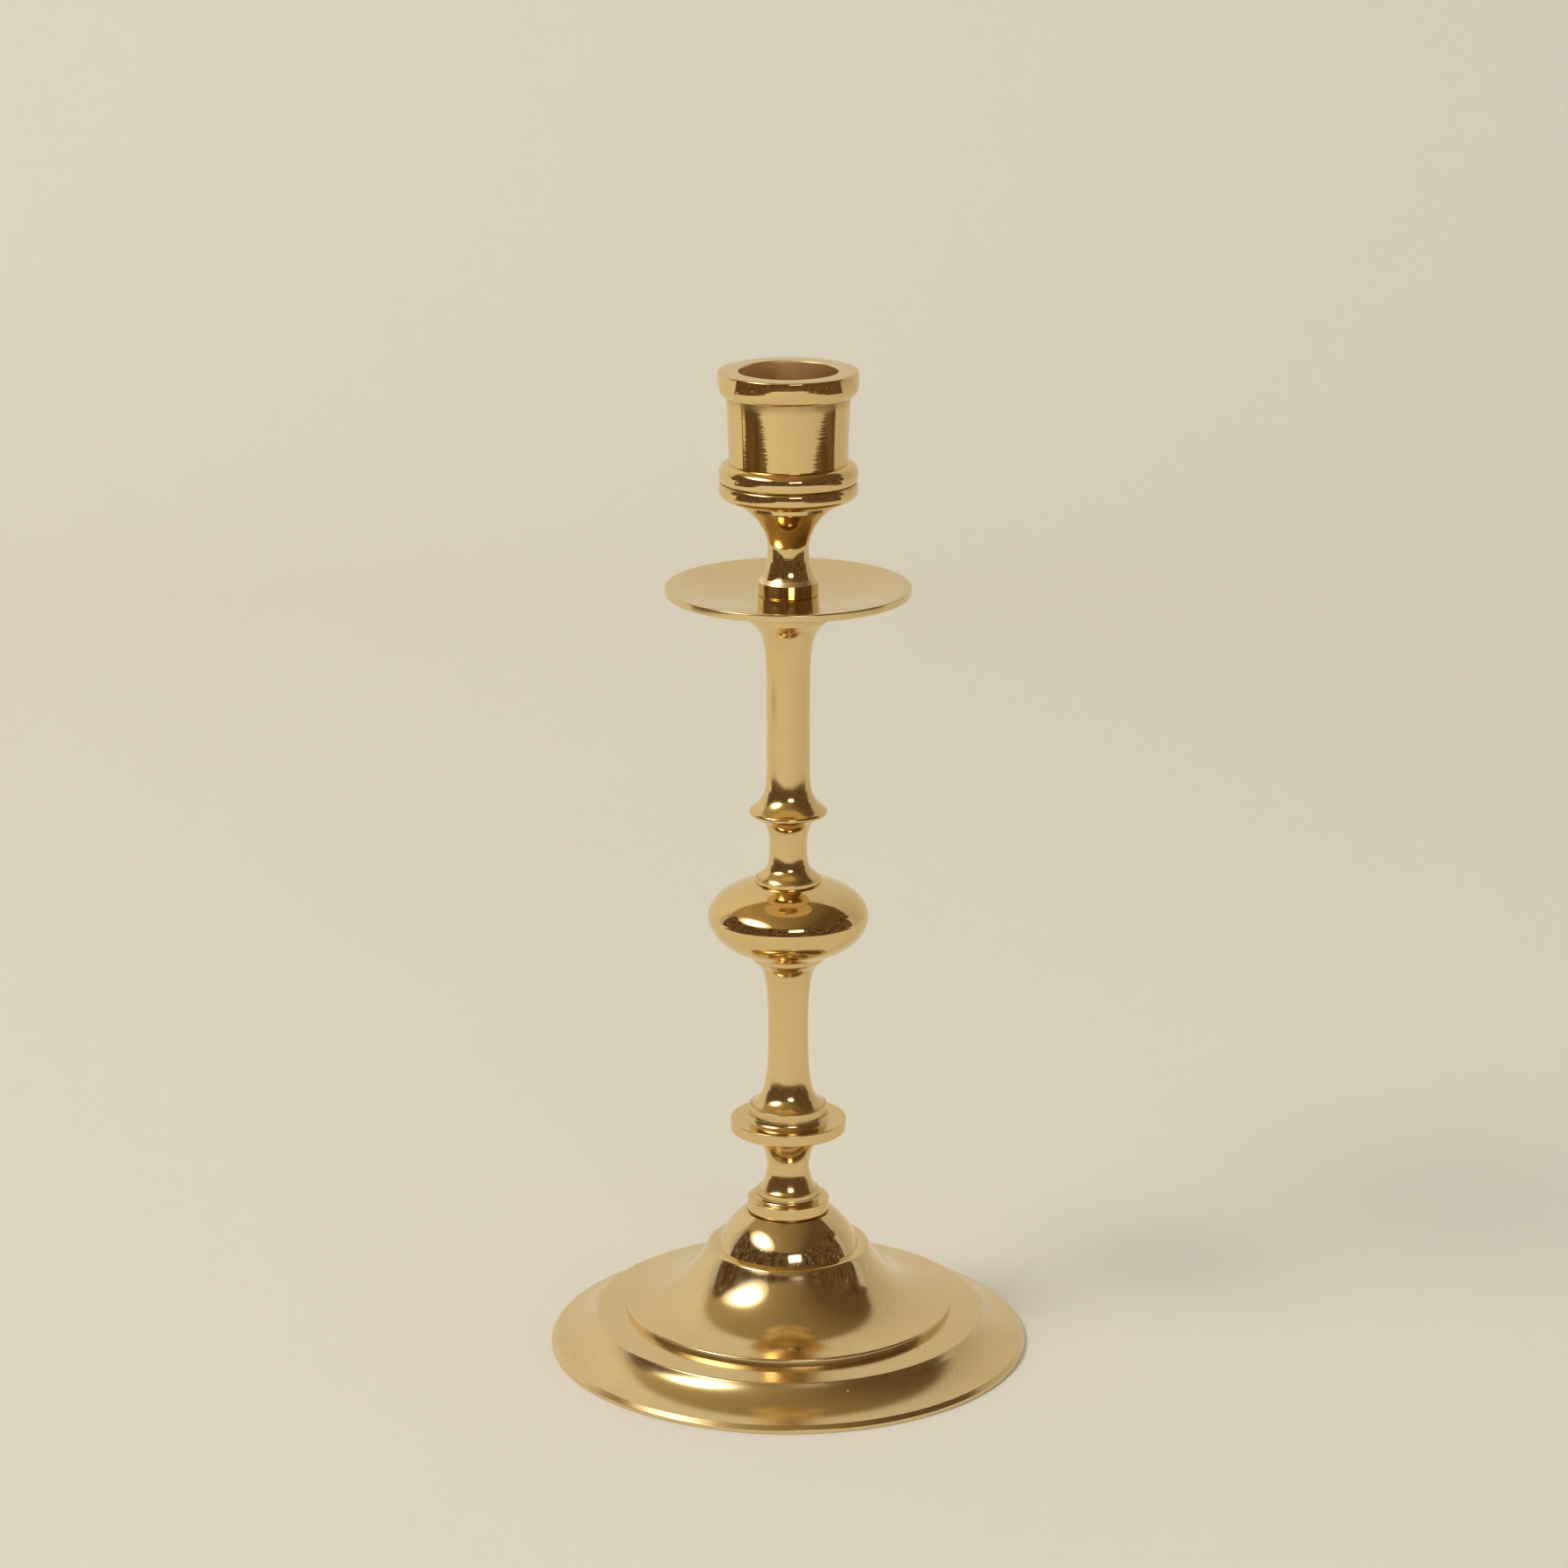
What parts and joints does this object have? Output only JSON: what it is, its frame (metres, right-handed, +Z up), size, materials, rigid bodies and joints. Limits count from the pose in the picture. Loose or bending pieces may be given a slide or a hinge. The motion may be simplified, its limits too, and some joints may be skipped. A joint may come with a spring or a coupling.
{
  "type": "candlestick",
  "caption": "Turned brass candlestick for one taper candle: round stepped base, baluster stem with a knop, drip pan and screw-on candle cup.",
  "frame": {"origin": "centre of the plane that the base rests on", "axes": "+Z up along the turning axis, from the base to the candle cup; +X and +Y are level, and the object is round about Z"},
  "size_m": [0.113, 0.113, 0.235],
  "materials": {
    "base_brass": "polished, slightly satin from handling",
    "stem_brass": "polished",
    "knop_brass": "polished",
    "pan_brass": "polished",
    "cup_brass": "polished outside, darker inside the bore",
    "washer_steel": "zinc plated",
    "nut_steel": "zinc plated",
    "stud_steel": "zinc plated, threaded"
  },
  "bodies": {
    "holder": {"base": "base_brass", "base_washer": "washer_steel", "spring_washer": "washer_steel", "base_nut": "nut_steel", "base_stud": "stud_steel", "lower_stem": "stem_brass", "knop": "knop_brass", "knop_stud": "stud_steel", "upper_stem": "stem_brass", "drip_pan": "pan_brass"},
    "thread_lift": {"cup_stud": "stud_steel"},
    "cup": {"candle_cup": "cup_brass"}
  },
  "joints": [
    {"name": "cup_rise", "type": "slide", "parent": "holder", "child": "thread_lift", "axis": [0, 0, 1], "range_m": [0, 0.008]},
    {"name": "cup_turn", "type": "hinge", "parent": "thread_lift", "child": "cup", "pos_m": [0, 0, 0.18312], "axis": [0, 0, 1], "range_deg": [0, 3600.1]}
  ],
  "couplings": [
    {"joint": "cup_turn", "follows": "cup_rise", "rad_per_m": 7854}
  ]
}
